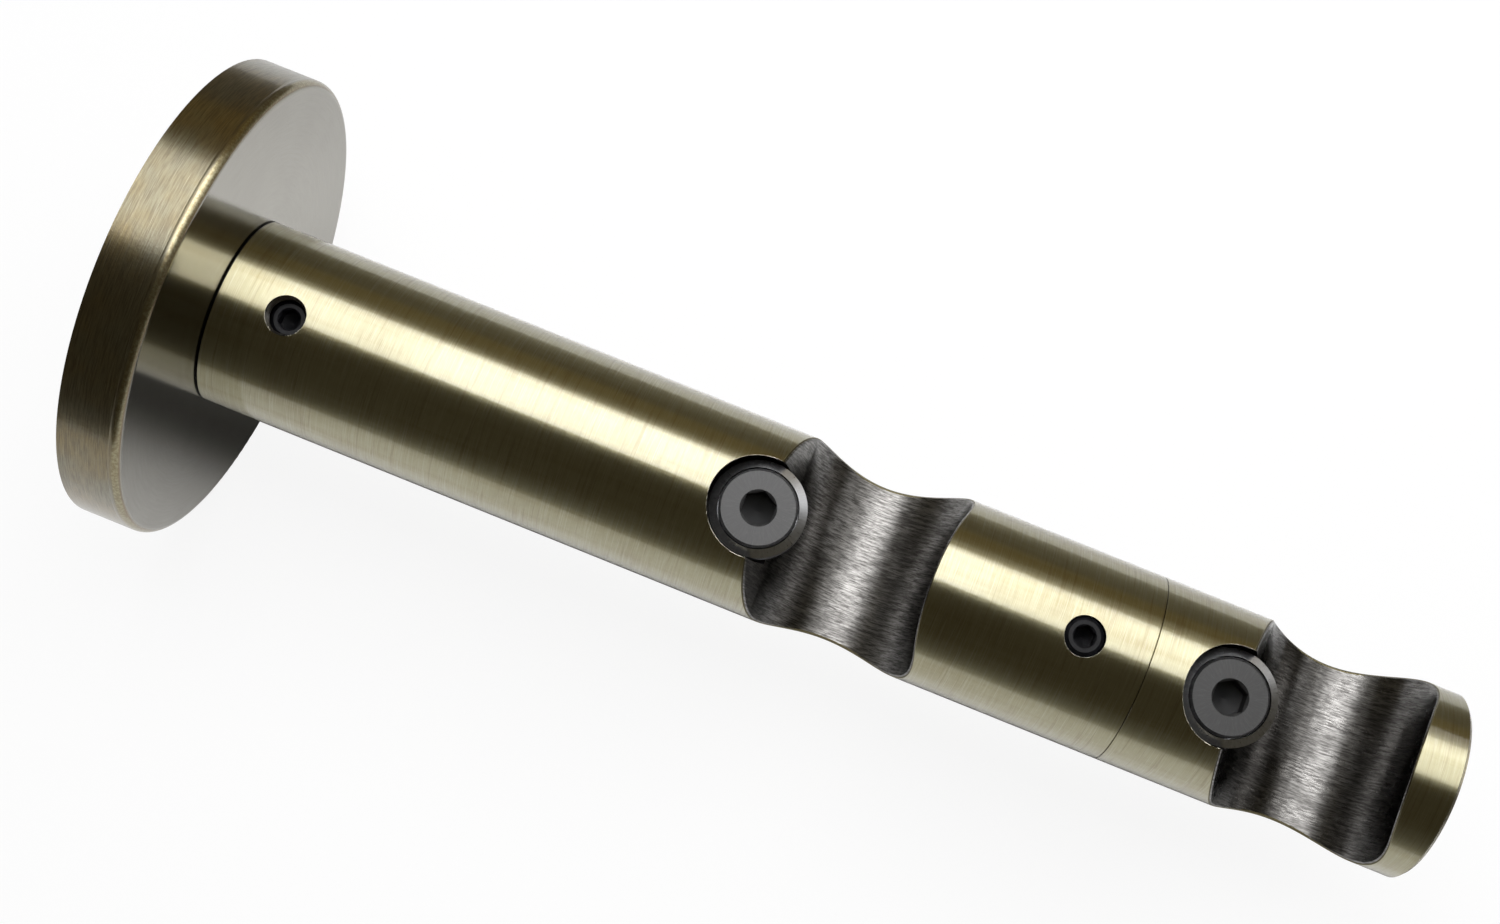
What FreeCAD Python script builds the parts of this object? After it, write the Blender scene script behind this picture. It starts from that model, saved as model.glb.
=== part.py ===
import FreeCAD, Part
import os
import Sketcher

# Two-run curtain pole bracket: a round arm that stands out from a wall disc and
# carries two open troughs, one behind the other, each for a 20 mm pole.
# Frame: the wall is the plane x = 0, the arm lies along +X, the troughs open to +Z.

SIZES = {
    # Wall disc and what it hides
    "disc_diameter": 63.0,
    "disc_thickness": 8.0,
    "disc_face": 2.0,
    "disc_rim": 1.5,
    "disc_edge": 1.0,
    "plate_clearance": 2.0,
    "plate_thickness": 4.0,
    "boss_diameter": 25.0,
    "fixing_margin": 7.0,
    "fixing_hole": 5.0,
    "fixing_head": 10.0,
    "fixing_count": 3,
    # Arm and end piece
    "arm_diameter": 25.0,
    "arm_length": 124.0,
    "end_length": 40.5,
    "foot_edge": 0.25,
    "seam_edge": 0.1,
    "tip_edge": 0.5,
    # Spigots that plug into the arm
    "spigot_diameter": 13.0,
    "rear_spigot_length": 22.0,
    "front_spigot_length": 16.0,
    "spigot_clearance": 0.1,
    "spigot_edge": 0.8,
    "bore_spare": 2.0,
    "groove_depth": 0.4,
    "groove_width": 7.0,
    # Troughs, milled at a slant so that the front lip hangs over the pole
    "trough_radius": 10.7,
    "trough_depth": 7.7,
    "trough_slant": 19.0,
    "rear_trough": 37.2,
    "front_trough": 25.5,
    "trough_edge": 0.3,
    # Clamps
    "clamp_offset": 14.3,
    "pocket_diameter": 13.0,
    "pocket_depth": 8.3,
    "ring_diameter": 12.4,
    "ring_foot": 8.8,
    "ring_cone": 2.5,
    "ring_height": 5.4,
    "ring_base": 1.6,
    "ring_bevel": 0.6,
    "head_clearance": 0.15,
    "shank_clearance": 0.2,
    "thread_clearance": 0.1,
    "tap_spare": 2.0,
    "screw_diameter": 6.0,
    "screw_length": 12.0,
    "screw_edge": 0.5,
    "head_diameter": 10.0,
    "head_height": 4.0,
    "head_edge": 0.3,
    "head_hex": 4.0,
    "head_hex_depth": 2.4,
    "mouth_spare": 0.05,
    "drill_angle": 118.0,
    # Grub screws that hold the spigots
    "rear_grub": 9.1,
    "front_grub": 8.5,
    "grub_diameter": 5.0,
    "grub_tip": 2.5,
    "rear_grub_recess": 2.3,
    "front_grub_recess": 0.3,
    "grub_hex": 2.5,
    "grub_hex_depth": 2.0,
    "seat_gap": 0.1,
    # Screw that holds the rear spigot on the wall plate
    "plate_screw_length": 18.0,
    "plate_screw_head": 12.0,
    "plate_screw_sunk": 0.2,
}

# Places along the arm, worked out from the sizes above
DISC_SEAT = "(Size.disc_thickness - Size.disc_face)"
ARM_START = "Size.disc_thickness"
ARM_END = "(Size.disc_thickness + Size.arm_length)"
REAR_TROUGH = f"({ARM_END} - Size.rear_trough)"
FRONT_TROUGH = f"({ARM_END} + Size.front_trough)"
REAR_GRUB = f"({ARM_START} + Size.rear_grub)"
FRONT_GRUB = f"({ARM_END} - Size.front_grub)"
ARM_RADIUS = "Size.arm_diameter / 2"
PLATE_RADIUS = "(Size.disc_diameter / 2 - Size.disc_rim - Size.plate_clearance)"
TROUGH_HEIGHT = f"({ARM_RADIUS} - Size.trough_depth)"
POCKET_FLOOR = f"({ARM_RADIUS} - Size.pocket_depth)"
SPIGOT_RADIUS = "Size.spigot_diameter / 2"
GROOVE_RADIUS = f"({SPIGOT_RADIUS} - Size.groove_depth)"
GRUB_SEAT = f"({GROOVE_RADIUS} + Size.seat_gap)"
SPIGOT_BORE = f"({SPIGOT_RADIUS} + Size.spigot_clearance)"
TAP_RADIUS = "(Size.screw_diameter / 2 + Size.thread_clearance)"
GRUB_TAP = "(Size.grub_diameter / 2 + Size.thread_clearance)"
HEAD_SEAT = f"({POCKET_FLOOR} + Size.ring_base)"
TAP_END = f"({HEAD_SEAT} - Size.screw_length - Size.tap_spare)"

doc = FreeCAD.newDocument("PoleBracket")
size = doc.addObject("Spreadsheet::Sheet", "Size")
for row, (alias, number) in enumerate(SIZES.items(), start=1):
    size.set(f"A{row}", alias)
    size.set(f"B{row}", str(number))
    size.setAlias(f"B{row}", alias)
doc.recompute()


def worked_out(expression):
    """The number that an expression over the sheet gives."""
    result = size.evalExpression(expression)
    return float(getattr(result, "Value", result))


def new_body(label):
    """An empty body for one piece, named and labelled as that piece."""
    body = doc.addObject("PartDesign::Body", label)
    body.Label = label
    return body


def new_sketch(body, plane, name, offset=None):
    """A sketch on one of the body's own planes, moved along the plane's normal."""
    sketch = body.newObject("Sketcher::SketchObject", name)
    support = [item for item in body.Origin.OriginFeatures if item.Role == plane][0]
    sketch.AttachmentSupport = [(support, "")]
    sketch.MapMode = "FlatFace"
    if offset is not None:
        sketch.setExpression("AttachmentOffset.Base.z", offset)
    return sketch


def bind(sketch, constraint, expression):
    """Add a driving dimension and tie it to the sheet."""
    index = sketch.addConstraint(constraint)
    sketch.setExpression(f"Constraints[{index}]", expression)


def fix_point(sketch, element, point, x, y):
    """Hold a point of the sketch at x, y, both given as expressions."""
    for kind, axis, expression in (("DistanceX", -2, x), ("DistanceY", -1, y)):
        distance = worked_out(expression)
        if abs(distance) < 1e-9:
            sketch.addConstraint(Sketcher.Constraint("PointOnObject", element, point, axis))
        elif distance > 0:
            bind(sketch, Sketcher.Constraint(kind, -1, 1, element, point, distance), expression)
        else:
            bind(sketch, Sketcher.Constraint(kind, element, point, -1, 1, -distance), f"-({expression})")


def draw_outline(sketch, corners):
    """A closed outline of straight lines through corners given as expressions."""
    places = [FreeCAD.Vector(worked_out(x), worked_out(y), 0) for x, y in corners]
    lines = []
    for start, end in zip(places, places[1:] + places[:1]):
        lines.append(sketch.addGeometry(Part.LineSegment(start, end), False))
    for line, following in zip(lines, lines[1:] + lines[:1]):
        sketch.addConstraint(Sketcher.Constraint("Coincident", line, 2, following, 1))
    for line, (x, y) in zip(lines, corners):
        fix_point(sketch, line, 1, x, y)


def draw_circle(sketch, x, y, radius):
    """A circle whose place and radius are given as expressions."""
    centre = FreeCAD.Vector(worked_out(x), worked_out(y), 0)
    circle = Part.Circle(centre, FreeCAD.Vector(0, 0, 1), worked_out(radius))
    element = sketch.addGeometry(circle, False)
    fix_point(sketch, element, 3, x, y)
    bind(sketch, Sketcher.Constraint("Radius", element, worked_out(radius)), radius)


def draw_hexagon(sketch, across_flats):
    """A hexagon about the origin, with two of its flats along the sketch's upright axis."""
    half = f"{across_flats} / 2"
    side = f"{across_flats} / sqrt(3)"
    corners = [
        ("0", side),
        (f"-{half}", f"{side} / 2"),
        (f"-{half}", f"-{side} / 2"),
        ("0", f"-{side}"),
        (half, f"-{side} / 2"),
        (half, f"{side} / 2"),
    ]
    draw_outline(sketch, corners)


def turn(body, corners, axis="H_Axis"):
    """A turned form: the outline revolved about an axis of its sketch."""
    sketch = new_sketch(body, "XZ_Plane", "TurnedOutline")
    draw_outline(sketch, corners)
    revolution = body.newObject("PartDesign::Revolution", "Turned")
    revolution.Profile = sketch
    revolution.ReferenceAxis = (sketch, [axis])
    revolution.Angle = 360
    doc.recompute()
    return revolution


def groove(body, corners, name, axis="H_Axis"):
    """Metal turned away: the outline revolved about an axis of its sketch."""
    sketch = new_sketch(body, "XZ_Plane", f"{name}Outline")
    draw_outline(sketch, corners)
    cut = body.newObject("PartDesign::Groove", name)
    cut.Profile = sketch
    cut.ReferenceAxis = (sketch, [axis])
    cut.Angle = 360
    doc.recompute()
    return cut


def sink(body, sketch, depth, name):
    """Cut a sketch away against its plane's normal."""
    cut = body.newObject("PartDesign::Pocket", name)
    cut.Profile = sketch
    cut.setExpression("Length", depth)
    doc.recompute()
    return cut


def sink_socket(body, top, across_flats, depth):
    """A hexagon socket in an upright screw's top, with a countersunk mouth and a drill's point below."""
    sketch = new_sketch(body, "XY_Plane", "SocketOutline", top)
    draw_hexagon(sketch, across_flats)
    sink(body, sketch, depth, "Socket")
    mouth = f"({across_flats} / sqrt(3) + Size.mouth_spare)"
    bottom = f"({top} - {mouth} + {across_flats} / 2)"
    corners = [("0", bottom), (f"{across_flats} / 2", bottom), (mouth, top), ("0", top)]
    groove(body, corners, "SocketMouth", axis="V_Axis")
    floor = f"({top} - {depth})"
    point = f"({floor} - {across_flats} / 2 / tan(Size.drill_angle / 2 * 1 deg))"
    cone = [("0", point), (f"{across_flats} / 2", floor), ("0", floor)]
    groove(body, cone, "DrillPoint", axis="V_Axis")


def cut_trough(body, centre, name):
    """Mill the pole's trough across the arm, with its walls leaning towards the wall disc."""
    sketch = new_sketch(body, "XZ_Plane", f"{name}Outline")
    radius = worked_out("Size.trough_radius")
    slant = FreeCAD.Vector(0, 0, 1)
    middle = FreeCAD.Vector(worked_out(centre), worked_out(TROUGH_HEIGHT), 0)
    lean = FreeCAD.Rotation(slant, worked_out("Size.trough_slant"))
    across = lean.multVec(FreeCAD.Vector(radius, 0, 0))
    upward = lean.multVec(FreeCAD.Vector(0, worked_out("Size.arm_diameter"), 0))
    corners = [middle - across, middle - across + upward, middle + across + upward, middle + across]
    circle = Part.Circle(middle, slant, radius)
    start = circle.parameter(corners[0])
    end = circle.parameter(corners[3])
    floor = sketch.addGeometry(Part.ArcOfCircle(circle, start, end), False)
    rear, top, front = [
        sketch.addGeometry(Part.LineSegment(first, second), False)
        for first, second in zip(corners, corners[1:])
    ]
    sketch.addConstraint(Sketcher.Constraint("Tangent", floor, 1, rear, 1))
    sketch.addConstraint(Sketcher.Constraint("Tangent", floor, 2, front, 2))
    sketch.addConstraint(Sketcher.Constraint("Coincident", rear, 2, top, 1))
    sketch.addConstraint(Sketcher.Constraint("Coincident", top, 2, front, 1))
    sketch.addConstraint(Sketcher.Constraint("Perpendicular", rear, top))
    sketch.addConstraint(Sketcher.Constraint("Parallel", rear, front))
    fix_point(sketch, floor, 3, centre, TROUGH_HEIGHT)
    bind(sketch, Sketcher.Constraint("Radius", floor, radius), "Size.trough_radius")
    bind(sketch, Sketcher.Constraint("Distance", rear, upward.Length), "Size.arm_diameter")
    leaning = FreeCAD.Units.Quantity(f"{90 + worked_out('Size.trough_slant')} deg")
    bind(sketch, Sketcher.Constraint("Angle", -1, 1, rear, 1, leaning), "(90 + Size.trough_slant) * 1 deg")
    trough = body.newObject("PartDesign::Pocket", name)
    trough.Profile = sketch
    trough.SideType = "Symmetric"
    trough.setExpression("Length", "Size.arm_diameter * 2")
    doc.recompute()
    return trough


def cut_clamp_seat(body, centre, name):
    """Sink the clamp's pocket beside the trough, with the tapped hole in its floor."""
    place = f"{centre} - Size.clamp_offset"
    pocket = new_sketch(body, "XY_Plane", f"{name}PocketOutline", ARM_RADIUS)
    draw_circle(pocket, place, "0", "Size.pocket_diameter / 2")
    sink(body, pocket, "Size.pocket_depth", f"{name}Pocket")
    tapped = new_sketch(body, "XY_Plane", f"{name}TapOutline", POCKET_FLOOR)
    draw_circle(tapped, place, "0", TAP_RADIUS)
    sink(body, tapped, f"{POCKET_FLOOR} - {TAP_END}", f"{name}Tap")


def is_round(face, direction, radius):
    """Whether a face is a cylinder of a radius that lies along a direction."""
    if not isinstance(face.Surface, Part.Cylinder):
        return False
    along = face.Surface.Axis.cross(direction).Length < 1e-6
    return along and abs(face.Surface.Radius - worked_out(radius)) < 1e-6


def stands_across(face):
    """Whether a face is flat and stands across the arm, as a trough's walls do."""
    return isinstance(face.Surface, Part.Plane) and abs(face.normalAt(0, 0).y) < 1e-6


def break_lips(body, trough):
    """Break the sharp edges where the trough's floor and walls meet the round bar."""
    along_arm = FreeCAD.Vector(1, 0, 0)
    along_pole = FreeCAD.Vector(0, 1, 0)
    lips = []
    for index, edge in enumerate(trough.Shape.Edges, start=1):
        faces = trough.Shape.ancestorsOfType(edge, Part.Face)
        on_bar = any(is_round(face, along_arm, ARM_RADIUS) for face in faces)
        on_floor = any(is_round(face, along_pole, "Size.trough_radius") for face in faces)
        on_wall = any(stands_across(face) for face in faces)
        if on_bar and (on_floor or on_wall):
            lips.append(f"Edge{index}")
    broken = body.newObject("PartDesign::Chamfer", "BrokenLips")
    broken.Base = (trough, lips)
    broken.setExpression("Size", "Size.trough_edge")
    doc.recompute()
    return broken


def build_wall_plate():
    """The steel plate that is screwed to the wall, with a boss that carries the disc."""
    body = new_body("wall_plate")
    corners = [
        ("0", "0"),
        (DISC_SEAT, "0"),
        (DISC_SEAT, "Size.boss_diameter / 2"),
        ("Size.plate_thickness", "Size.boss_diameter / 2"),
        ("Size.plate_thickness", PLATE_RADIUS),
        ("0", PLATE_RADIUS),
    ]
    turn(body, corners)
    shank = "(Size.screw_diameter / 2 + Size.shank_clearance)"
    head = "(Size.plate_screw_head / 2 + Size.plate_screw_sunk + Size.seat_gap)"
    countersunk = [
        ("0", "0"),
        (DISC_SEAT, "0"),
        (DISC_SEAT, shank),
        (f"{head} - {shank}", shank),
        ("0", head),
    ]
    groove(body, countersunk, "CentreHole")
    drill = new_sketch(body, "YZ_Plane", "FixingOutline")
    draw_circle(drill, "0", f"{PLATE_RADIUS} - Size.fixing_margin", "Size.fixing_hole / 2")
    hole = body.newObject("PartDesign::Pocket", "FixingHole")
    hole.Profile = drill
    hole.Reversed = True
    hole.setExpression("Length", "Size.plate_thickness")
    doc.recompute()
    sunk_edge = [
        f"Edge{index}"
        for index, edge in enumerate(hole.Shape.Edges, start=1)
        if isinstance(edge.Curve, Part.Circle)
        and abs(edge.Curve.Radius - worked_out("Size.fixing_hole / 2")) < 1e-6
        and abs(edge.Curve.Center.x - worked_out("Size.plate_thickness")) < 1e-6
    ]
    countersink = body.newObject("PartDesign::Chamfer", "FixingCountersink")
    countersink.Base = (hole, sunk_edge)
    countersink.setExpression("Size", "(Size.fixing_head - Size.fixing_hole) / 2")
    doc.recompute()
    pattern = body.newObject("PartDesign::PolarPattern", "FixingPattern")
    pattern.Originals = [hole, countersink]
    centre_line = [item for item in body.Origin.OriginFeatures if item.Role == "X_Axis"][0]
    pattern.Axis = (centre_line, [""])
    pattern.Angle = 360
    pattern.setExpression("Occurrences", "Size.fixing_count")
    body.Tip = pattern
    doc.recompute()
    return body


def build_rear_spigot():
    """The stud on the wall plate that the arm slides over."""
    body = new_body("rear_spigot")
    end = f"({ARM_START} + Size.rear_spigot_length)"
    corners = [
        (DISC_SEAT, "0"),
        (end, "0"),
        (end, f"{SPIGOT_RADIUS} - Size.spigot_edge"),
        (f"{end} - Size.spigot_edge", SPIGOT_RADIUS),
        (f"{REAR_GRUB} + Size.groove_width / 2", SPIGOT_RADIUS),
        (f"{REAR_GRUB} + Size.groove_width / 2 - Size.groove_depth", GROOVE_RADIUS),
        (f"{REAR_GRUB} - Size.groove_width / 2 + Size.groove_depth", GROOVE_RADIUS),
        (f"{REAR_GRUB} - Size.groove_width / 2", SPIGOT_RADIUS),
        (DISC_SEAT, SPIGOT_RADIUS),
    ]
    turn(body, corners)
    tap_end = "(Size.plate_screw_sunk + Size.plate_screw_length + Size.tap_spare)"
    tapped = [(DISC_SEAT, "0"), (tap_end, "0"), (tap_end, TAP_RADIUS), (DISC_SEAT, TAP_RADIUS)]
    groove(body, tapped, "TappedHole")
    return body


def build_plate_screw():
    """The countersunk screw that holds the spigot from behind the plate."""
    body = new_body("plate_screw")
    back = "Size.plate_screw_sunk"
    tip = f"({back} + Size.plate_screw_length)"
    shank = "Size.screw_diameter / 2"
    head = "Size.plate_screw_head / 2"
    corners = [
        (back, "0"),
        (tip, "0"),
        (tip, f"{shank} - Size.screw_edge"),
        (f"{tip} - Size.screw_edge", shank),
        (f"{back} + {head} - {shank}", shank),
        (back, head),
    ]
    turn(body, corners)
    socket = new_sketch(body, "YZ_Plane", "SocketOutline", back)
    draw_hexagon(socket, "Size.head_hex")
    cut = sink(body, socket, "Size.head_hex_depth", "Socket")
    cut.Reversed = True
    doc.recompute()
    return body


def build_wall_disc():
    """The turned cover disc, hollow behind, that the arm's end holds on the boss."""
    body = new_body("wall_disc")
    outer = "Size.disc_diameter / 2"
    inner = f"({outer} - Size.disc_rim)"
    hole = f"({SPIGOT_RADIUS} + Size.shank_clearance)"
    corners = [
        ("0", inner),
        (DISC_SEAT, inner),
        (DISC_SEAT, hole),
        ("Size.disc_thickness", hole),
        ("Size.disc_thickness", outer),
        ("0", outer),
    ]
    turned = turn(body, corners)
    front_edge = [
        f"Edge{index}"
        for index, edge in enumerate(turned.Shape.Edges, start=1)
        if isinstance(edge.Curve, Part.Circle)
        and abs(edge.Curve.Radius - worked_out(outer)) < 1e-6
        and abs(edge.Curve.Center.x - worked_out("Size.disc_thickness")) < 1e-6
    ]
    rounded = body.newObject("PartDesign::Fillet", "FrontEdge")
    rounded.Base = (turned, front_edge)
    rounded.setExpression("Radius", "Size.disc_edge")
    doc.recompute()
    return body


def build_arm():
    """The long round arm, bored at both ends, with the rear trough and clamp seat."""
    body = new_body("arm")
    corners = [
        (ARM_START, "0"),
        (ARM_END, "0"),
        (ARM_END, f"{ARM_RADIUS} - Size.seam_edge"),
        (f"{ARM_END} - Size.seam_edge", ARM_RADIUS),
        (f"{ARM_START} + Size.foot_edge", ARM_RADIUS),
        (ARM_START, f"{ARM_RADIUS} - Size.foot_edge"),
    ]
    turn(body, corners)
    rear_depth = f"({ARM_START} + Size.rear_spigot_length + Size.bore_spare)"
    rear_bore = [(ARM_START, "0"), (rear_depth, "0"), (rear_depth, SPIGOT_BORE), (ARM_START, SPIGOT_BORE)]
    groove(body, rear_bore, "RearBore")
    front_depth = f"({ARM_END} - Size.front_spigot_length - Size.bore_spare)"
    front_bore = [(front_depth, "0"), (ARM_END, "0"), (ARM_END, SPIGOT_BORE), (front_depth, SPIGOT_BORE)]
    groove(body, front_bore, "FrontBore")
    break_lips(body, cut_trough(body, REAR_TROUGH, "Trough"))
    cut_clamp_seat(body, REAR_TROUGH, "Clamp")
    for name, place in (("RearGrub", REAR_GRUB), ("FrontGrub", FRONT_GRUB)):
        tapped = new_sketch(body, "XY_Plane", f"{name}Outline", ARM_RADIUS)
        draw_circle(tapped, place, "0", GRUB_TAP)
        sink(body, tapped, ARM_RADIUS, name)
    return body


def build_end_piece():
    """The front saddle, with its own spigot, trough and clamp seat."""
    body = new_body("end_piece")
    back = f"({ARM_END} - Size.front_spigot_length)"
    tip = f"({ARM_END} + Size.end_length)"
    corners = [
        (back, "0"),
        (tip, "0"),
        (tip, f"{ARM_RADIUS} - Size.tip_edge"),
        (f"{tip} - Size.tip_edge", ARM_RADIUS),
        (f"{ARM_END} + Size.seam_edge", ARM_RADIUS),
        (ARM_END, f"{ARM_RADIUS} - Size.seam_edge"),
        (ARM_END, SPIGOT_RADIUS),
        (f"{FRONT_GRUB} + Size.groove_width / 2", SPIGOT_RADIUS),
        (f"{FRONT_GRUB} + Size.groove_width / 2 - Size.groove_depth", GROOVE_RADIUS),
        (f"{FRONT_GRUB} - Size.groove_width / 2 + Size.groove_depth", GROOVE_RADIUS),
        (f"{FRONT_GRUB} - Size.groove_width / 2", SPIGOT_RADIUS),
        (f"{back} + Size.spigot_edge", SPIGOT_RADIUS),
        (back, f"{SPIGOT_RADIUS} - Size.spigot_edge"),
    ]
    turn(body, corners)
    break_lips(body, cut_trough(body, FRONT_TROUGH, "Trough"))
    cut_clamp_seat(body, FRONT_TROUGH, "Clamp")
    return body


def build_grub_screw(label, place, recess):
    """A headless screw whose flat tip stands in the spigot's groove."""
    body = new_body(label)
    top = f"({ARM_RADIUS} - {recess})"
    thread = "Size.grub_diameter / 2"
    tip = "Size.grub_tip / 2"
    corners = [
        ("0", GRUB_SEAT),
        (tip, GRUB_SEAT),
        (thread, f"{GRUB_SEAT} + {thread} - {tip}"),
        (thread, f"{top} - Size.screw_edge"),
        (f"{thread} - Size.screw_edge", top),
        ("0", top),
    ]
    turn(body, corners, axis="V_Axis")
    sink_socket(body, top, "Size.grub_hex", "Size.grub_hex_depth")
    body.setExpression("Placement.Base.x", place)
    return body


def build_clamp_ring(label, trough):
    """The tapered ring that the clamp screw pulls down against the pole."""
    body = new_body(label)
    bore = "(Size.screw_diameter / 2 + Size.shank_clearance)"
    recess = "(Size.head_diameter / 2 + Size.head_clearance)"
    outer = "Size.ring_diameter / 2"
    corners = [
        (bore, "0"),
        ("Size.ring_foot / 2", "0"),
        (outer, "Size.ring_cone"),
        (outer, "Size.ring_height - Size.ring_bevel"),
        (recess, "Size.ring_height"),
        (recess, "Size.ring_base"),
        (bore, "Size.ring_base"),
    ]
    turn(body, corners, axis="V_Axis")
    body.setExpression("Placement.Base.x", f"{trough} - Size.clamp_offset")
    body.setExpression("Placement.Base.z", POCKET_FLOOR)
    return body


def build_clamp_screw(label, trough):
    """The low-head socket screw in the ring."""
    body = new_body(label)
    shank = "Size.screw_diameter / 2"
    head = "Size.head_diameter / 2"
    corners = [
        ("0", "-Size.screw_length"),
        (f"{shank} - Size.screw_edge", "-Size.screw_length"),
        (shank, "Size.screw_edge - Size.screw_length"),
        (shank, "0"),
        (head, "0"),
        (head, "Size.head_height - Size.head_edge"),
        (f"{head} - Size.head_edge", "Size.head_height"),
        ("0", "Size.head_height"),
    ]
    turn(body, corners, axis="V_Axis")
    sink_socket(body, "Size.head_height", "Size.head_hex", "Size.head_hex_depth")
    body.setExpression("Placement.Base.x", f"{trough} - Size.clamp_offset")
    body.setExpression("Placement.Base.z", HEAD_SEAT)
    return body


pieces = [
    build_wall_plate(),
    build_rear_spigot(),
    build_plate_screw(),
    build_wall_disc(),
    build_arm(),
    build_end_piece(),
    build_grub_screw("rear_grub_screw", REAR_GRUB, "Size.rear_grub_recess"),
    build_grub_screw("front_grub_screw", FRONT_GRUB, "Size.front_grub_recess"),
    build_clamp_ring("rear_clamp_ring", REAR_TROUGH),
    build_clamp_screw("rear_clamp_screw", REAR_TROUGH),
    build_clamp_ring("front_clamp_ring", FRONT_TROUGH),
    build_clamp_screw("front_clamp_screw", FRONT_TROUGH),
]
doc.recompute()

for item in doc.Objects:
    if "Invalid" in item.State or "Error" in item.State:
        raise RuntimeError(f"{item.Label} could not be worked out: {item.State}")
for piece in pieces:
    if piece.Shape.isNull() or not piece.Shape.isValid() or len(piece.Shape.Solids) != 1:
        raise RuntimeError(f"{piece.Label} is not one valid solid")

os.makedirs("parts", exist_ok=True)
for piece in pieces:
    piece.Shape.exportStep(f"parts/{piece.Label}.step")
    box = piece.Shape.optimalBoundingBox(False)
    print(
        f"{piece.Label}: {piece.Shape.Volume:.1f} mm3, x {box.XMin:.2f} to {box.XMax:.2f}, "
        f"y {box.YMin:.2f} to {box.YMax:.2f}, z {box.ZMin:.2f} to {box.ZMax:.2f}"
    )
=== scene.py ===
import math

import bmesh
import bpy
from mathutils import Matrix, Vector


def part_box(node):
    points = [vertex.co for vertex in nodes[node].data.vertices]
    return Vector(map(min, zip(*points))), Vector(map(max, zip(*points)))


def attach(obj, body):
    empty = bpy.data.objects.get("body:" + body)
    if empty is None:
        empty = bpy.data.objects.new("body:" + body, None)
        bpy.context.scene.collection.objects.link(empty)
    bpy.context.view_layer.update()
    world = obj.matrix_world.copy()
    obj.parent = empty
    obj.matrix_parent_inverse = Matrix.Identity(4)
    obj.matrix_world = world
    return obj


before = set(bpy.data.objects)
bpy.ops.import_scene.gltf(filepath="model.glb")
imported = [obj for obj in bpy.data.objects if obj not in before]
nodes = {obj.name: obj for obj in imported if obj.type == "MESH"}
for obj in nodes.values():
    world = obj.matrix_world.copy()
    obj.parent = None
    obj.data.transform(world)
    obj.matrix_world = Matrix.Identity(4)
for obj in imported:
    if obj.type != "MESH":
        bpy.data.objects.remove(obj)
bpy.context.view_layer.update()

# Two-run curtain pole bracket in antiqued, brushed brass.
# Frame: the wall is the plane x = 0, the arm lies along +X, the troughs open to +Z.

MM = 0.001
DISC_LOW, DISC_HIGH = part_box("wall_disc")
ARM_LOW, ARM_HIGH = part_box("arm")
BAR_RADIUS = ARM_HIGH.y

# Sizes that the nodes' boxes don't give
FLOOR_HEIGHT = DISC_LOW.z - 0.2 * MM  # just under the disc
TROUGH_HEIGHT = BAR_RADIUS - 7.7 * MM  # axis of the troughs' round floors
CLAMP_OFFSET = 14.3 * MM  # from a clamp's axis to its trough's
DISC_EDGE = 1.0 * MM  # radius of the disc's front edge
RING_BEVEL = 29.7  # degrees
POCKET_RADIUS = 6.5 * MM
SOCKET_REACH = 2.45 * MM  # takes in the corners of a clamp screw's socket

# Masks on the brass
SKIN = (0.40 * MM, 0.15 * MM)  # milled faces lie deeper: level ones, and ones that face along X
LIP_DEPTH = 0.028 * MM  # more than the sag of the bar's facets
TIP_MARGIN = 0.4 * MM  # keeps a flat end from counting as milled
HOLE_SKIN = 0.10 * MM  # thickness of what counts as the bar's outside, at a hole
WALL_MARGIN = 0.02 * MM
FOOT_MARGIN = 0.05 * MM

# Depth of the brushing and of the grain, and how far a worn rim leans into its hole
BRUSH_DEPTH = 0.02 * MM
GRAIN_DEPTH = 0.03 * MM
RIM_LEAN = 0.55

# How near a facet's own normal is to the exact one, as a cosine, where it lies on that face
NEAR_ROUND = 0.992
NEAR_EDGE = 0.96
NEAR_BEVEL = 0.985

# The axes that count in a distance from a line along X, Y or Z
ABOUT_X = (0, 1, 1)
ABOUT_Y = (1, 0, 1)
ABOUT_Z = (1, 1, 0)


def colour(red, green, blue):
    return (red, green, blue, 1.0)


BRASS = colour(0.345, 0.322, 0.200)
PALE_BRASS = colour(0.440, 0.420, 0.310)
BARE_BRASS = colour(0.620, 0.590, 0.480)
OLIVE = colour(0.250, 0.205, 0.085)
BROWN = colour(0.225, 0.180, 0.095)
DARK_BROWN = colour(0.118, 0.096, 0.064)
RIM_BRASS = colour(0.210, 0.199, 0.144)
COPPER = colour(0.200, 0.110, 0.055)
POLISHED = colour(0.300, 0.286, 0.250)
POLISHED_DARK = colour(0.235, 0.222, 0.188)
MILLED = colour(0.400, 0.392, 0.382)
BLACKENED = colour(0.090, 0.086, 0.083)
WORN = colour(0.420, 0.410, 0.390)
LIP = colour(0.105, 0.090, 0.048)
# Painted shade inside the screws' sockets
SOCKET_SHADE = colour(0.0035, 0.0035, 0.004)
# Painted shade in seams and on the walls of drilled holes
PAINTED_SHADE = colour(0.020, 0.019, 0.018)
BLACK = colour(0, 0, 0)
WHITE = colour(1, 1, 1)

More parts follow.
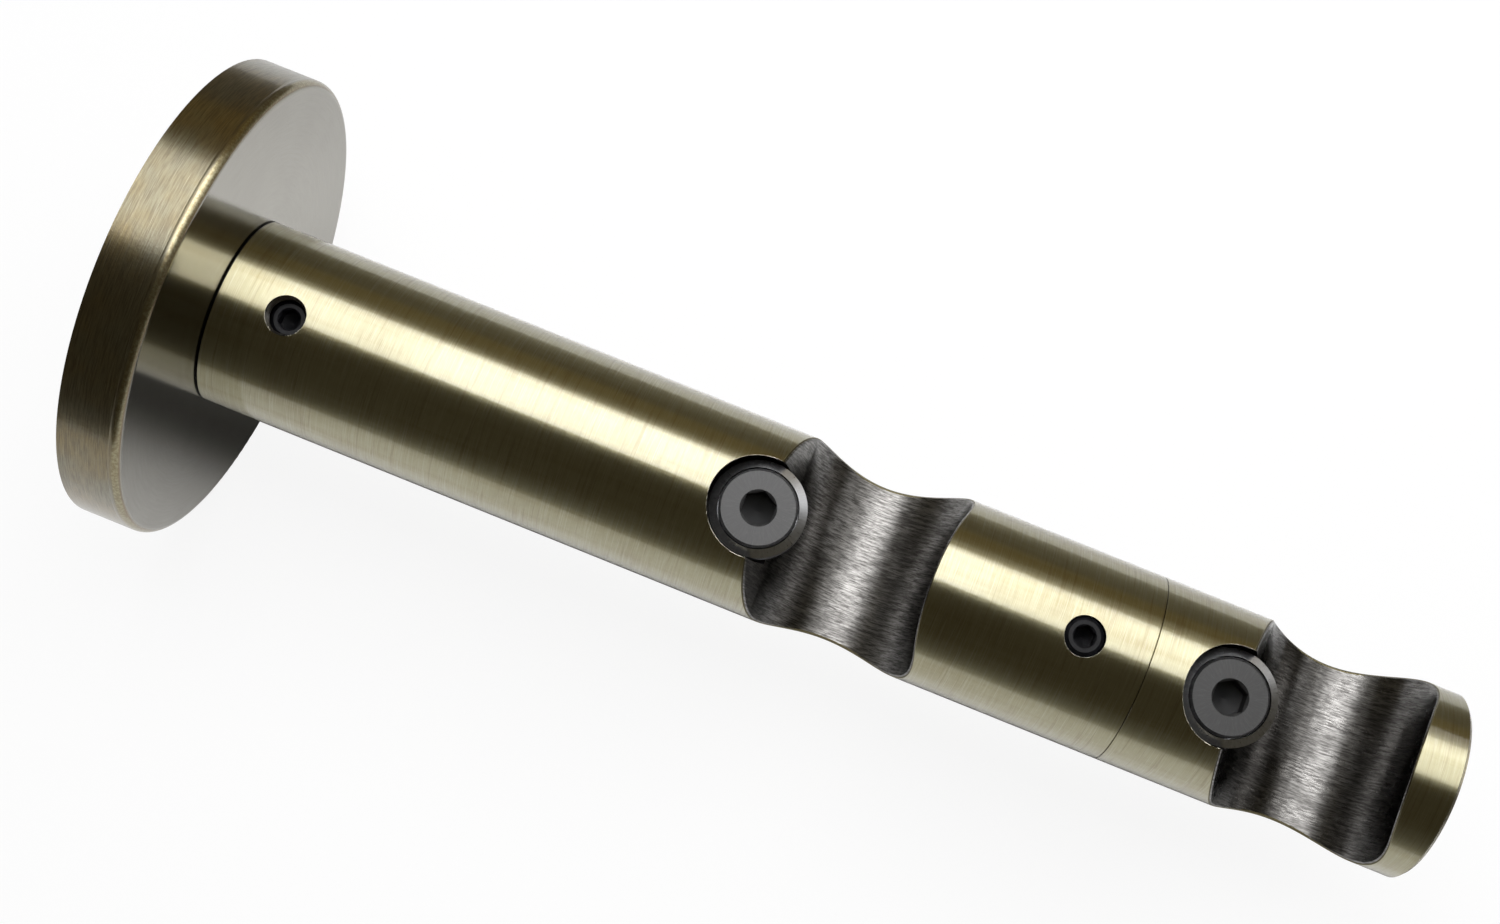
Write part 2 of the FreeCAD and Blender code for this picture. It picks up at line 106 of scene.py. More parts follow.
# Noise: scale, stretch along X, Y and Z, detail, roughness, shift
PATTERNS = {
    # Brushing round the bar: fine hairlines, a coarser set among them, and the grain of the cut
    "hairlines": (1.0, (7000, 160, 160), 4.0, 0.7, (0, 0, 0)),
    "strokes": (1.0, (2600, 110, 110), 3.0, 0.6, (3, 9, 4)),
    "grain": (1.0, (4200, 2200, 2200), 2.0, 0.6, (7, 3, 1)),
    # The patina drifts along the bar and gathers in clouds
    "drift": (1.0, (22, 420, 420), 4.0, 0.6, (2, 5, 3)),
    "clouds": (150.0, (1, 1, 1), 3.0, 0.55, (4, 1, 9)),
    # Cutter marks round the troughs' curve, with scratches, smudges and small chips
    "cutter": (1.0, (520, 4300, 520), 5.0, 0.75, (1, 8, 2)),
    "scratches": (1.0, (380, 2600, 380), 2.0, 0.5, (6, 2, 9)),
    "smudges": (260.0, (0.6, 1.5, 0.6), 3.0, 0.6, (5, 2, 8)),
    "chips": (1.0, (2000, 3600, 2000), 3.0, 0.7, (3, 3, 6)),
    # The ragged rims of the holes
    "wear": (2400.0, (1, 1, 1), 2.0, 0.6, (6, 6, 1)),
    # The disc
    "disc_turning": (1.0, (1, 1, 1), 3.0, 0.6, (0, 0, 0)),
    "disc_brushing": (1.0, (6500, 330, 330), 4.0, 0.7, (0, 0, 0)),
    "disc_hairlines": (1.0, (9000, 200, 200), 3.0, 0.7, (1, 2, 3)),
    "disc_grain": (1.0, (4200, 3000, 3000), 2.0, 0.6, (7, 3, 1)),
    "disc_clouds": (110.0, (1, 1, 1), 3.0, 0.6, (4, 1, 9)),
    "disc_specks": (2600.0, (1, 1, 1), 3.0, 0.7, (4, 4, 4)),
    # Steel
    "steel_turning": (1.0, (1, 1, 1), 5.0, 0.65, (0, 0, 0)),
    "steel_marks": (900.0, (1, 1, 1), 4.0, 0.6, (0, 0, 0)),
    "steel_specks": (3000.0, (1, 1, 1), 3.0, 0.65, (0, 0, 0)),
}


def middle(node):
    low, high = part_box(node)
    return (low + high) / 2


REAR_TROUGH = middle("rear_clamp_ring").x + CLAMP_OFFSET
FRONT_TROUGH = middle("front_clamp_ring").x + CLAMP_OFFSET


# Node helpers


def new_material(name):
    material = bpy.data.materials.new(name)
    material.use_nodes = True
    material.node_tree.nodes.clear()
    return material


def add(tree, kind, inputs=None, **settings):
    """One node, with its settings, and its sockets linked or set."""
    node = tree.nodes.new(kind)
    for name, value in settings.items():
        setattr(node, name, value)
    for name, value in (inputs or {}).items():
        if isinstance(value, bpy.types.NodeSocket):
            tree.links.new(value, node.inputs[name])
        else:
            node.inputs[name].default_value = value
    return node


def output(tree, shader, kind="ShaderNodeOutputMaterial"):
    add(tree, kind, {"Surface": shader.outputs[0]})


def calc(tree, operation, *values):
    return add(tree, "ShaderNodeMath", dict(enumerate(values)), operation=operation).outputs[0]


def vector(tree, operation, *values):
    inputs = dict(enumerate(values))
    node = add(tree, "ShaderNodeVectorMath", inputs, operation=operation)
    return node.outputs["Value" if operation in ("DOT_PRODUCT", "LENGTH") else "Vector"]


def scaled(tree, value, factor):
    inputs = {0: value, "Scale": factor}
    return add(tree, "ShaderNodeVectorMath", inputs, operation="SCALE").outputs["Vector"]


def outward(tree, offset, keep):
    """The direction away from a line through the origin; keep names the axes that count."""
    return vector(tree, "NORMALIZE", vector(tree, "MULTIPLY", offset, keep))


def part(tree, value, axis):
    return add(tree, "ShaderNodeSeparateXYZ", {"Vector": value}).outputs[axis]


def polar(tree, place, axes, around, across):
    """The angle about a line and the distance from it, each times its own factor."""
    right, up = axes
    keep = tuple(int(axis in axes) for axis in "XYZ")
    split = add(tree, "ShaderNodeSeparateXYZ", {"Vector": place}).outputs
    angle = calc(tree, "ARCTAN2", split[up], split[right])
    reach = vector(tree, "LENGTH", vector(tree, "MULTIPLY", place, keep))
    return calc(tree, "MULTIPLY", angle, around), calc(tree, "MULTIPLY", reach, across), reach


def blend(tree, kind, factor, first, second):
    """A mix of two floats, vectors or colours, each in the sockets of its kind."""
    start, result = {"FLOAT": (2, 0), "VECTOR": (4, 1), "RGBA": (6, 2)}[kind]
    inputs = {0: factor, start: first, start + 1: second}
    return add(tree, "ShaderNodeMix", inputs, data_type=kind).outputs[result]


def spread(tree, value, low, high, to_low=0.0, to_high=1.0):
    """Map low..high to to_low..to_high, smoothly and clamped."""
    ends = {"From Min": low, "From Max": high, "To Min": to_low, "To Max": to_high}
    inputs = {"Value": value, **ends}
    return add(tree, "ShaderNodeMapRange", inputs, interpolation_type="SMOOTHSTEP").outputs[0]


def layered(tree, tone, *layers):
    """Colours laid over tone, each up to its share, where its pattern goes from low to high."""
    for pattern, low, high, share, over in layers:
        tone = blend(tree, "RGBA", spread(tree, pattern, low, high, 0.0, share), tone, over)
    return tone


def noise(tree, place, name):
    """One of PATTERNS. The larger its stretch, the finer the pattern along that axis."""
    scale, stretch, detail, rough, shift = PATTERNS[name]
    moved = add(tree, "ShaderNodeMapping", {"Vector": place, "Scale": stretch, "Location": shift})
    inputs = {"Vector": moved.outputs[0], "Scale": scale, "Detail": detail, "Roughness": rough}
    return add(tree, "ShaderNodeTexNoise", inputs).outputs["Fac"]


def relief(tree, height, normal, strength, depth):
    inputs = {"Height": height, "Normal": normal, "Strength": strength, "Distance": depth}
    return add(tree, "ShaderNodeBump", inputs).outputs[0]


# Exact normals of the turned and milled faces, so that facets don't show in the gloss


def lies_on(tree, exact, true_normal, nearness):
    """1 where a facet's own normal is near the exact one, and 0 on other faces."""
    return calc(tree, "GREATER_THAN", vector(tree, "DOT_PRODUCT", exact, true_normal), nearness)


def surface(tree, cylinders):
    """Object position, exact normal and the bare facet normal."""
    place = add(tree, "ShaderNodeTexCoord").outputs["Object"]
    geometry = add(tree, "ShaderNodeNewGeometry")
    normal = geometry.outputs["Normal"]
    true_normal = geometry.outputs["True Normal"]
    for centre, keep, hollow in cylinders:
        exact = outward(tree, vector(tree, "SUBTRACT", place, centre), keep)
        if hollow:
            exact = scaled(tree, exact, -1.0)
        on_face = lies_on(tree, exact, true_normal, NEAR_ROUND)
        normal = blend(tree, "VECTOR", on_face, normal, exact)
    return place, normal, true_normal


def edge_normal(tree, place, normal, true_normal, reach):
    """The normal of the disc's rounded edge, a quarter ring about the arm's axis."""
    ring_radius = DISC_HIGH.y - DISC_EDGE
    core = scaled(tree, outward(tree, place, ABOUT_X), ring_radius)
    centre = vector(tree, "ADD", core, (DISC_HIGH.x - DISC_EDGE, 0, 0))
    exact = vector(tree, "NORMALIZE", vector(tree, "SUBTRACT", place, centre))
    near = lies_on(tree, exact, true_normal, NEAR_EDGE)
    on_edge = calc(tree, "MULTIPLY", near, calc(tree, "GREATER_THAN", reach, ring_radius))
    return blend(tree, "VECTOR", on_edge, normal, exact)


def bevel_normal(tree, offset, normal, true_normal, slope):
    """The normal of an upright ring's bevel, which slopes down outwards by slope degrees."""
    leaning = scaled(tree, outward(tree, offset, ABOUT_Z), math.tan(math.radians(slope)))
    exact = vector(tree, "NORMALIZE", vector(tree, "ADD", leaning, (0, 0, 1)))
    on_bevel = lies_on(tree, exact, true_normal, NEAR_BEVEL)
    return blend(tree, "VECTOR", on_bevel, normal, exact)


# A cylinder is a point on its axis, the axes that count from it, and whether it is hollow
BAR = ((0, 0, 0), ABOUT_X, False)


def trough_floor(x):
    return ((x, 0, TROUGH_HEIGHT), ABOUT_Y, True)


def pocket_wall(ring):
    centre = middle(ring)
    return ((centre.x, centre.y, 0), ABOUT_Z, True)


# Materials


def lacquered(tree, tone, roughness, tangent, normals, anisotropy, coat):
    """Metal under clear lacquer. Normals are the metal's and the lacquer's."""
    inputs = {
        "Base Color": tone,
        "Metallic": 1.0,
        "Roughness": roughness,
        "Anisotropic": anisotropy,
        "Tangent": tangent,
        "Normal": normals[0],
        "Coat Weight": coat,
        "Coat Roughness": 0.08,
        "Coat Normal": normals[1],
    }
    output(tree, add(tree, "ShaderNodeBsdfPrincipled", inputs))


def brushed_brass(node, name, trough, pocket, holes, seams, edges, milled, shade):
    """Antiqued brass, brushed round the bar, and dark and grey where the trough is milled.

    Holes are (centre, radius, width of the worn rim, foot), seams are (x, width, share) and
    edges are (x, width). Milled is the trough's roughness, low and high, and the strength of
    its chips. Shade is the share of black painted over the trough as shade.
    """
    material = new_material(name)
    tree = material.node_tree
    place, normal, true_normal = surface(tree, [BAR, trough_floor(trough), pocket_wall(pocket)])
    distance = vector(tree, "LENGTH", vector(tree, "MULTIPLY", place, ABOUT_X))
    along = part(tree, place, "X")
    level = part(tree, place, "Z")

    hairlines = noise(tree, place, "hairlines")
    grain = noise(tree, place, "grain")
    tone = layered(
        tree,
        BRASS,
        (noise(tree, place, "drift"), 0.42, 0.74, 0.50, OLIVE),
        (noise(tree, place, "clouds"), 0.48, 0.75, 0.30, BROWN),
        (hairlines, 0.44, 0.70, 0.60, PALE_BRASS),
        (noise(tree, place, "strokes"), 0.54, 0.68, 0.42, BROWN),
    )
    roughness = spread(tree, grain, 0.25, 0.75, 0.36, 0.43)

    # Inside the bar the metal is blackened and milled round the trough's curve
    sideways = calc(tree, "ABSOLUTE", vector(tree, "DOT_PRODUCT", true_normal, (1, 0, 0)))
    skin = spread(tree, sideways, 0.35, 0.60, *SKIN)
    depth = calc(tree, "SUBTRACT", BAR_RADIUS, distance)
    off_end = calc(tree, "LESS_THAN", along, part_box(node)[1].x - TIP_MARGIN)
    milled_face = calc(tree, "MULTIPLY", calc(tree, "GREATER_THAN", depth, skin), off_end)
    cutter = noise(tree, place, "cutter")
    smudges = noise(tree, place, "smudges")
    inside = layered(
        tree,
        BLACKENED,
        (cutter, 0.35, 0.69, 1.0, MILLED),
        (smudges, 0.46, 0.74, 0.55, BLACKENED),
        (noise(tree, place, "scratches"), 0.66, 0.78, 0.50, WORN),
    )
    # Painted shade: black laid over the milled trough, up to the share shade
    inside = blend(tree, "RGBA", shade, inside, BLACK)
    # The lips of the trough keep dark patina, and no lacquer
    lip = calc(tree, "MULTIPLY", calc(tree, "GREATER_THAN", depth, LIP_DEPTH), off_end)
    tone = blend(tree, "RGBA", lip, tone, LIP)
    tone = blend(tree, "RGBA", milled_face, tone, inside)
    coat = calc(tree, "SUBTRACT", 1.0, lip)
    smooth, rough, chip_strength = milled
    milled_rough = spread(tree, smudges, 0.3, 0.7, smooth, rough)
    roughness = blend(tree, "FLOAT", milled_face, roughness, milled_rough)
    height = blend(tree, "FLOAT", milled_face, hairlines, cutter)
    fine_height = blend(tree, "FLOAT", milled_face, grain, noise(tree, place, "chips"))
    fine_strength = spread(tree, milled_face, 0.0, 1.0, 0.30, chip_strength)
    # The gloss spreads across the marks
    tangent = blend(tree, "VECTOR", milled_face, (1, 0, 0), (0, 1, 0))

    # Painted shade: seams are darkened as the shade in their gaps
    for seam, width, share in seams:
        from_seam = calc(tree, "ABSOLUTE", calc(tree, "SUBTRACT", along, seam))
        seam_shade = spread(tree, from_seam, 0.7 * width, width, share, 0.0)
        tone = blend(tree, "RGBA", seam_shade, tone, PAINTED_SHADE)

    # The tip's outer edge is rubbed down to a coppery line
    for edge, width in edges:
        from_edge = calc(tree, "ABSOLUTE", calc(tree, "SUBTRACT", along, edge))
        by_edge = spread(tree, from_edge, 0.5 * width, width, 0.85, 0.0)
        outer = spread(tree, distance, BAR_RADIUS - 1.5 * width, BAR_RADIUS - 0.8 * width)
        tone = blend(tree, "RGBA", calc(tree, "MULTIPLY", by_edge, outer), tone, COPPER)

    # Drilled holes have walls painted near black as shade, and a worn, bare rim that leans
    # inwards
    outside = calc(tree, "GREATER_THAN", distance, BAR_RADIUS - HOLE_SKIN)
    inner = calc(tree, "SUBTRACT", 1.0, outside)
    on_top = calc(tree, "MULTIPLY", calc(tree, "GREATER_THAN", level, 0.0), outside)
    wear = noise(tree, place, "wear")
    for centre, radius, width, foot in holes:
        offset = vector(tree, "MULTIPLY", vector(tree, "SUBTRACT", place, centre), ABOUT_Z)
        reach = vector(tree, "LENGTH", offset)
        wall_shade = calc(tree, "LESS_THAN", reach, radius + WALL_MARGIN)
        wall_shade = calc(tree, "MULTIPLY", wall_shade, calc(tree, "GREATER_THAN", level, foot))
        tone = blend(tree, "RGBA", calc(tree, "MULTIPLY", wall_shade, inner), tone, PAINTED_SHADE)
        ragged = calc(tree, "MULTIPLY_ADD", wear, 2.4 * width, radius - 0.9 * width)
        rim = calc(tree, "MULTIPLY", calc(tree, "LESS_THAN", reach, ragged), on_top)
        tone = blend(tree, "RGBA", rim, tone, BARE_BRASS)
        inward = scaled(tree, vector(tree, "NORMALIZE", offset), -RIM_LEAN)
        leaning = vector(tree, "NORMALIZE", vector(tree, "ADD", normal, inward))
        normal = blend(tree, "VECTOR", rim, normal, leaning)

    rough_normal = relief(tree, height, normal, 0.30, BRUSH_DEPTH)
    rough_normal = relief(tree, fine_height, rough_normal, fine_strength, GRAIN_DEPTH)
    lacquered(tree, tone, roughness, tangent, (rough_normal, normal), 1.0, coat)
    return material


def disc_brass(name):
    """The turned disc: polished, grey-gold face, brushed rim and a worn, coppery edge between."""
    material = new_material(name)
    tree = material.node_tree
    place, normal, true_normal = surface(tree, [BAR])
    around, across, reach = polar(tree, place, "YZ", 5.0, 4500.0)
    normal = edge_normal(tree, place, normal, true_normal, reach)
    facing = vector(tree, "DOT_PRODUCT", normal, (1, 0, 0))
    on_face = spread(tree, facing, 0.90, 0.99)
    off_rim = spread(tree, facing, 0.05, 0.30)
    on_edge = calc(tree, "MULTIPLY", off_rim, spread(tree, facing, 0.80, 0.98, 1.0, 0.0))
    past_edge = spread(tree, facing, 0.80, 0.90)
    on_arris = calc(tree, "MULTIPLY", past_edge, spread(tree, facing, 0.94, 0.99, 1.0, 0.0))

    # The rim is brushed round; the face is turned, so its marks are rings
    rings = add(tree, "ShaderNodeCombineXYZ", {"X": across, "Y": around}).outputs[0]
    turned = noise(tree, rings, "disc_turning")
    brushed = noise(tree, place, "disc_brushing")
    clouds = noise(tree, place, "disc_clouds")
    rim_tone = layered(
        tree,
        RIM_BRASS,
        (clouds, 0.35, 0.68, 1.0, BROWN),
        (brushed, 0.38, 0.66, 0.75, DARK_BROWN),
        (noise(tree, place, "disc_hairlines"), 0.54, 0.76, 0.40, PALE_BRASS),
    )
    face_tone = layered(
        tree,
        POLISHED,
        (turned, 0.35, 0.70, 0.50, POLISHED_DARK),
        (clouds, 0.40, 0.72, 0.35, POLISHED_DARK),
    )
    worn = layered(tree, BROWN, (noise(tree, place, "disc_specks"), 0.40, 0.64, 1.0, BRASS))
    worn = blend(tree, "RGBA", calc(tree, "MULTIPLY", on_arris, 0.8), worn, COPPER)
    tone = blend(tree, "RGBA", on_face, rim_tone, face_tone)
    tone = blend(tree, "RGBA", calc(tree, "MULTIPLY", on_edge, 0.75), tone, worn)

    height = blend(tree, "FLOAT", on_face, brushed, turned)
    strength = spread(tree, on_face, 0.0, 1.0, 0.45, 0.06)
    rough_normal = relief(tree, height, normal, strength, BRUSH_DEPTH)
    strength = spread(tree, on_face, 0.0, 1.0, 0.35, 0.05)
    grain = noise(tree, place, "disc_grain")
    rough_normal = relief(tree, grain, rough_normal, strength, GRAIN_DEPTH)
    roughness = spread(tree, on_face, 0.0, 1.0, 0.30, 0.13)
    tangent = blend(tree, "VECTOR", on_face, (1, 0, 0), outward(tree, place, ABOUT_X))
    lacquered(tree, tone, roughness, tangent, (rough_normal, normal), 0.85, 0.40)
    return material


def steel(
    name, base, worn, roughness, centre=None, metallic=1.0, bevel=None, mouth=None, shine=0.5
):
    """Steel with worn marks and specks. The marks are turned where centre is given.

    Bevel is a ring's slope in degrees, and mouth the height below which a socket is painted near
    black as shade.
    """
    material = new_material(name)
    tree = material.node_tree
    place, normal, true_normal = surface(tree, [])
    if centre is None:
        marks = noise(tree, place, "steel_marks")
    else:
        offset = vector(tree, "SUBTRACT", place, (centre.x, centre.y, 0))
        if bevel is not None:
            normal = bevel_normal(tree, offset, normal, true_normal, bevel)
        around, across, reach = polar(tree, offset, "XY", 22.0, 700.0)
        turning = add(tree, "ShaderNodeCombineXYZ", {"X": around, "Y": across}).outputs[0]
        marks = noise(tree, turning, "steel_turning")
    specks = noise(tree, place, "steel_specks")
    tone = layered(tree, base, (marks, 0.42, 0.75, 0.5, worn), (specks, 0.60, 0.80, 0.5, worn))
    gloss = spread(tree, marks, 0.2, 0.8, roughness - 0.05, roughness + 0.08)
    if mouth is not None:
        # Painted shade: below its mouth the socket is painted near black
        level = part(tree, place, "Z")
        sunk_shade = spread(tree, level, mouth - 0.45 * MM, mouth - 0.05 * MM, 1.0, 0.0)
        inside = calc(tree, "MULTIPLY", sunk_shade, calc(tree, "LESS_THAN", reach, SOCKET_REACH))
        tone = blend(tree, "RGBA", inside, tone, SOCKET_SHADE)
        gloss = blend(tree, "FLOAT", inside, gloss, 0.70)
    inputs = {
        "Base Color": tone,
        "Metallic": metallic,
        "Roughness": gloss,
        "Specular IOR Level": shine,
        "Normal": relief(tree, specks, normal, 0.2, BRUSH_DEPTH),
    }
    output(tree, add(tree, "ShaderNodeBsdfPrincipled", inputs))
    return material


def give(material, *names):
    for name in names:
        slots = nodes[name].data.materials
        slots.clear()
        slots.append(material)


def drilled(node, radius, width):
    """A hole about the axis of a round piece, down to its foot, for the brass round it."""
    centre = middle(node)
    return ((centre.x, centre.y, 0), radius, width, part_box(node)[0].z - FOOT_MARGIN)


grub_low, grub_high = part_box("rear_grub_screw")
GRUB_HOLE = (grub_high.x - grub_low.x) / 2 + 0.1 * MM
end_seam = (ARM_HIGH.x, 0.10 * MM, 0.2)
arm_brass = brushed_brass(
    "arm",
    "antique_brass_arm",
    trough=REAR_TROUGH,
    pocket="rear_clamp_ring",
    holes=[
        drilled("rear_clamp_ring", POCKET_RADIUS, 0.08 * MM),
        drilled("rear_grub_screw", GRUB_HOLE, 0.04 * MM),
        drilled("front_grub_screw", GRUB_HOLE, 0.03 * MM),
    ],
    seams=[(ARM_LOW.x, 0.28 * MM, 1.0), end_seam],
    edges=[],
    milled=(0.31, 0.38, 0.60),
    shade=0.0,
)
end_brass = brushed_brass(
    "end_piece",
    "antique_brass_end",
    trough=FRONT_TROUGH,
    pocket="front_clamp_ring",
    holes=[drilled("front_clamp_ring", POCKET_RADIUS, 0.08 * MM)],
    seams=[end_seam],
    edges=[(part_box("end_piece")[1].x, 0.30 * MM)],
    milled=(0.25, 0.31, 0.42),
    shade=0.22,
)
give(arm_brass, "arm")
give(end_brass, "end_piece")
give(disc_brass("antique_brass_disc"), "wall_disc")

# Painted shade: the front screw's head is a darker copy of the same oxide
RING_GREY, RING_WORN = colour(0.36, 0.365, 0.38), colour(0.50, 0.50, 0.50)
HEAD_GREY, HEAD_WORN = (0.024, 0.024, 0.025), (0.095, 0.095, 0.096)
for side, shade in (("rear", 1.0), ("front", 0.62)):
    centre = middle(f"{side}_clamp_ring")
    ring = steel(f"{side}_ring_metal", RING_GREY, RING_WORN, 0.30, centre, bevel=RING_BEVEL)
    grey, pale = (colour(*(shade * value for value in tone)) for tone in (HEAD_GREY, HEAD_WORN))
    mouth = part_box(f"{side}_clamp_screw")[1].z
    head = steel(f"{side}_head_oxide", grey, pale, 0.40, centre, metallic=0.0, mouth=mouth)
    give(ring, f"{side}_clamp_ring")
    give(head, f"{side}_clamp_screw")

GRUB_BLACK, GRUB_WORN = colour(0.005, 0.005, 0.006), colour(0.02, 0.02, 0.022)
grub_steel = steel("black_steel", GRUB_BLACK, GRUB_WORN, 0.38, metallic=0.0, shine=0.14)
give(grub_steel, "rear_grub_screw", "front_grub_screw")
zinc = steel("zinc_steel", colour(0.42, 0.43, 0.44), colour(0.60, 0.60, 0.61), 0.34)
give(zinc, "wall_plate", "rear_spigot", "plate_screw")


# Fine thread in the tapped hole over the recessed grub screw


def add_object(name, data):
    thing = bpy.data.objects.new(name, data)
    bpy.context.scene.collection.objects.link(thing)
    return thing


STEPS_PER_TURN = 48
# The ridge's section: its share of the depth, inwards, and of the pitch, upwards
RIDGE = ((0.0, -0.42), (1.0, -0.06), (1.0, 0.06), (0.0, 0.42))


def thread(name, centre, radius, bottom, top, pitch, depth, material):
    """A helical ridge on the wall of an upright hole."""
    turns = (top - bottom) / pitch
    steps = int(turns * STEPS_PER_TURN)
    mesh = bmesh.new()
    rows = []
    for step in range(steps + 1):
        turned = math.tau * turns * step / steps
        rise = bottom + (top - bottom) * step / steps
        row = []
        for inward, up in RIDGE:
            reach = radius - depth * inward
            x = centre.x + reach * math.cos(turned)
            y = centre.y + reach * math.sin(turned)
            row.append(mesh.verts.new((x, y, rise + up * pitch)))
        rows.append(row)
    for row, following in zip(rows, rows[1:]):
        for index in range(len(RIDGE) - 1):
            ahead = index + 1
            mesh.faces.new((row[index], following[index], following[ahead], row[ahead]))
    mesh.faces.new(rows[0])
    mesh.faces.new(rows[-1])
    bmesh.ops.recalc_face_normals(mesh, faces=mesh.faces)
    data = bpy.data.meshes.new(name)
    mesh.to_mesh(data)
    mesh.free()
    data.materials.append(material)
    return add_object(name, data)


rear_thread = thread(
    "rear_grub_thread",
    middle("rear_grub_screw"),
    GRUB_HOLE,
    bottom=grub_high.z + 0.40 * MM,
    top=BAR_RADIUS - 0.45 * MM,
    pitch=0.8 * MM,
    depth=0.28 * MM,
    material=steel("thread_metal", colour(0.12, 0.115, 0.11), colour(0.30, 0.30, 0.29), 0.30),
)
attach(rear_thread, "root")


# Stage: pale floor, soft studio light, and dimly glowing sheets that only the gloss sees, which
# paint the reflection of dark surroundings


def stage_plane(name, corners, material):
    mesh = bpy.data.meshes.new(name)
    mesh.from_pydata(corners, [], [tuple(range(len(corners)))])
    mesh.materials.append(material)
    plane = add_object(name, mesh)
    return plane


def background_rays(tree, path):
    """1 for the camera, for gloss and for glass."""
    seen = calc(tree, "MAXIMUM", path["Is Camera Ray"], path["Is Glossy Ray"])
    return calc(tree, "MAXIMUM", seen, path["Is Transmission Ray"])


floor_material = new_material("floor_paper")
tree = floor_material.node_tree
path = add(tree, "ShaderNodeLightPath").outputs
across = part(tree, add(tree, "ShaderNodeTexCoord").outputs["Object"], "Y")
paper = add(tree, "ShaderNodeBsdfDiffuse", {"Color": colour(0.86, 0.86, 0.86)})
white = add(tree, "ShaderNodeEmission", {"Color": WHITE, "Strength": 1.0})
# Painted light: in front of the arm the gloss sees the paper glowing white, and elsewhere the
# paper as it is lit
to_camera = calc(tree, "MULTIPLY", path["Is Camera Ray"], 0.90)
painted_glow = spread(tree, across, -0.045, -0.012, 0.80, 0.03)
to_gloss = calc(tree, "MULTIPLY", background_rays(tree, path), painted_glow)
share = calc(tree, "MAXIMUM", to_camera, to_gloss)
mixed = add(tree, "ShaderNodeMixShader", {0: share, 1: paper.outputs[0], 2: white.outputs[0]})
# Painted shadow: under the arm the gloss sees a deep dark patch laid on the paper, and behind the
# arm a slight one
from_arm = calc(tree, "ABSOLUTE", calc(tree, "ADD", across, 0.004))
shadow_under_arm = spread(tree, from_arm, 0.008, 0.019, 0.75, 0.0)
shadow_behind_arm = spread(tree, across, 0.015, 0.040, 0.0, 0.20)
painted_shadow_share = calc(tree, "MAXIMUM", shadow_under_arm, shadow_behind_arm)
to_gloss = calc(tree, "MULTIPLY", path["Is Glossy Ray"], painted_shadow_share)
painted_shadow = add(tree, "ShaderNodeBsdfDiffuse", {"Color": colour(0.03, 0.03, 0.02)})
mixed = add(tree, "ShaderNodeMixShader", {0: to_gloss, 1: mixed.outputs[0], 2: painted_shadow.outputs[0]})
output(tree, mixed)
FLOOR_REACH = 2.5
signs = ((-1, -1), (1, -1), (1, 1), (-1, 1))
floor_corners = [(x * FLOOR_REACH, y * FLOOR_REACH, FLOOR_HEIGHT) for x, y in signs]
stage_plane("floor", floor_corners, floor_material)


def glow_only(thing):
    """Seen in the gloss alone, as a painted reflection."""
    thing.visible_camera = False
    thing.visible_diffuse = False
    thing.visible_shadow = False
    thing.visible_transmission = False


tent_glow_material = new_material("painted_reflection_tent")
tree = tent_glow_material.node_tree
# Painted reflection: the tent's glow turns warm and brighter on its +Y side
side_way = part(tree, add(tree, "ShaderNodeTexCoord").outputs["Object"], "Y")
reflection_lift = spread(tree, side_way, 1.5, 2.9)
tent = blend(tree, "RGBA", reflection_lift, colour(0.078, 0.067, 0.043), colour(0.26, 0.20, 0.09))
output(tree, add(tree, "ShaderNodeEmission", {"Color": tent, "Strength": 1.0}))

# A dome over the scene, cut off below its middle. It glows dimly and only the gloss sees it: a
# painted reflection of dark surroundings, warmer and brighter towards +Y
dome_mesh = bpy.data.meshes.new("painted_reflection_tent")
shell = bmesh.new()
bmesh.ops.create_uvsphere(shell, u_segments=64, v_segments=32, radius=3.0)
below = [vertex for vertex in shell.verts if vertex.co.z < -0.01]
bmesh.ops.delete(shell, geom=below, context="VERTS")
shell.to_mesh(dome_mesh)
shell.free()
dome_mesh.materials.append(tent_glow_material)
dome = add_object("painted_reflection_tent", dome_mesh)
dome.location = (0.086, 0.0, FLOOR_HEIGHT + 0.02)
glow_only(dome)

# A low wall on the arm's +Y side that glows dimly and that only the gloss sees: a painted
# reflection on that side of the arm
flag_glow_material = new_material("painted_reflection_flag")
tree = flag_glow_material.node_tree
flag_glow_tone = colour(0.16, 0.14, 0.10)
output(tree, add(tree, "ShaderNodeEmission", {"Color": flag_glow_tone, "Strength": 1.0}))
FLAG_Y, FLAG_TOP = 0.106, 0.03
flag_ends = ((-1.5, FLOOR_HEIGHT), (1.7, FLOOR_HEIGHT), (1.7, FLAG_TOP), (-1.5, FLAG_TOP))
flag = stage_plane("painted_reflection_flag", [(x, FLAG_Y, z) for x, z in flag_ends], flag_glow_material)
glow_only(flag)


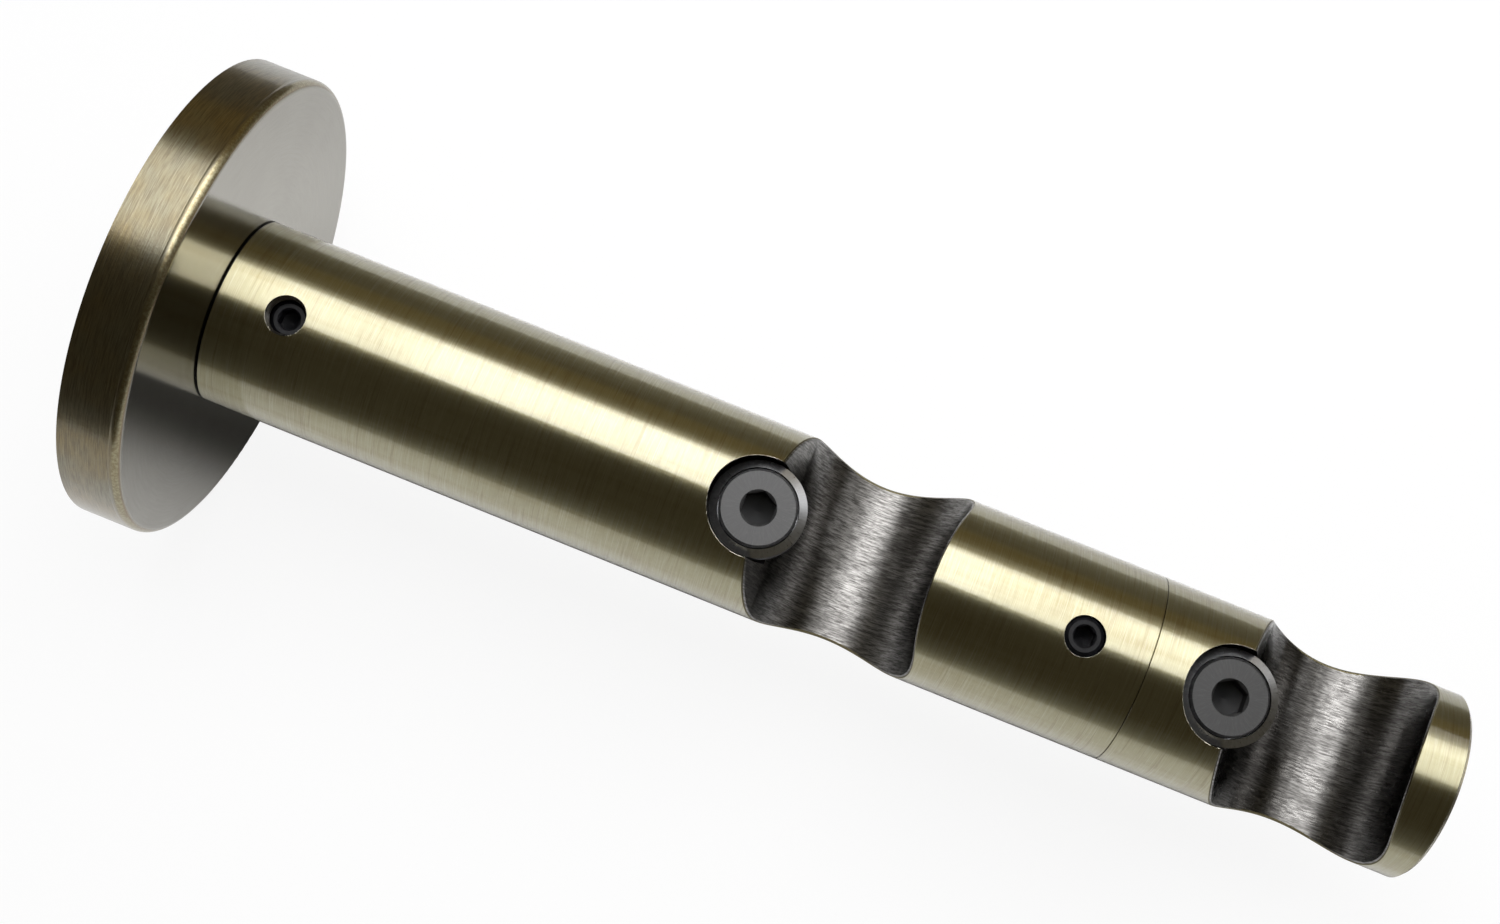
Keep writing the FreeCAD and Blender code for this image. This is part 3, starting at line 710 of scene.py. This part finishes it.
def softbox(name, target, lean, distance, length, width, radiance):
    """A rectangular lamp over target; lean is its tilt in degrees towards +X and towards +Y."""
    data = bpy.data.lights.new(name, "AREA")
    data.shape = "RECTANGLE"
    data.size = length
    data.size_y = width
    data.energy = radiance * math.pi * length * width
    lamp = add_object(name, data)
    to_x, to_y = (math.tan(math.radians(angle)) for angle in lean)
    direction = Vector((to_x, to_y, 1.0)).normalized()
    up = direction.cross(Vector((1, 0, 0))).normalized()
    across = up.cross(direction)
    turned = Matrix((across, up, direction)).transposed().to_4x4()
    lamp.matrix_world = Matrix.Translation(Vector(target) + direction * distance) @ turned
    lamp.visible_camera = False


# The key light fades towards its ends: four boxes, one in front of the other
softbox("key_softbox", (0.045, 0, 0), (0, 25.0), 0.45, 0.22, 0.345, 2.5)
softbox("middle_softbox", (0.062, 0, 0), (0, 26.5), 0.46, 0.38, 0.381, 2.4)
softbox("wide_softbox", (0.080, 0, 0), (0, 27.0), 0.47, 0.58, 0.397, 1.3)
softbox("long_softbox", (0.110, 0, 0), (0, 27.4), 0.48, 1.10, 0.412, 0.5)
softbox("corner_softbox", (0.100, 0, 0.010), (50.0, 50.0), 0.60, 0.30, 0.30, 1.5)

world = bpy.data.worlds.new("World")
world.use_nodes = True
tree = world.node_tree
tree.nodes.clear()
seen = background_rays(tree, add(tree, "ShaderNodeLightPath").outputs)
ambient = add(tree, "ShaderNodeBackground", {"Color": WHITE, "Strength": 0.10})
backdrop = add(tree, "ShaderNodeBackground", {"Color": WHITE, "Strength": 1.0})
mixed = add(tree, "ShaderNodeMixShader", {0: seen, 1: ambient.outputs[0], 2: backdrop.outputs[0]})
output(tree, mixed, "ShaderNodeOutputWorld")
bpy.context.scene.world = world
bpy.context.scene.view_settings.view_transform = "Standard"


# Camera at the photograph's viewing angle, fitted to the outlines of the arm and the disc

CAMERA_PLACE = (
    (0.92770, -0.37153, 0.03650, 0.08619),
    (0.37270, 0.91612, -0.14771, -0.03066),
    (0.02144, 0.15064, 0.98836, 0.24823),
    (0, 0, 0, 1),
)
camera_data = bpy.data.cameras.new("Camera")
camera_data.sensor_width = 36.0
camera_data.lens = 46.37
camera_data.clip_start = 0.005
camera = add_object("Camera", camera_data)
camera.matrix_world = Matrix(CAMERA_PLACE)
bpy.context.scene.camera = camera

bpy.context.view_layer.update()
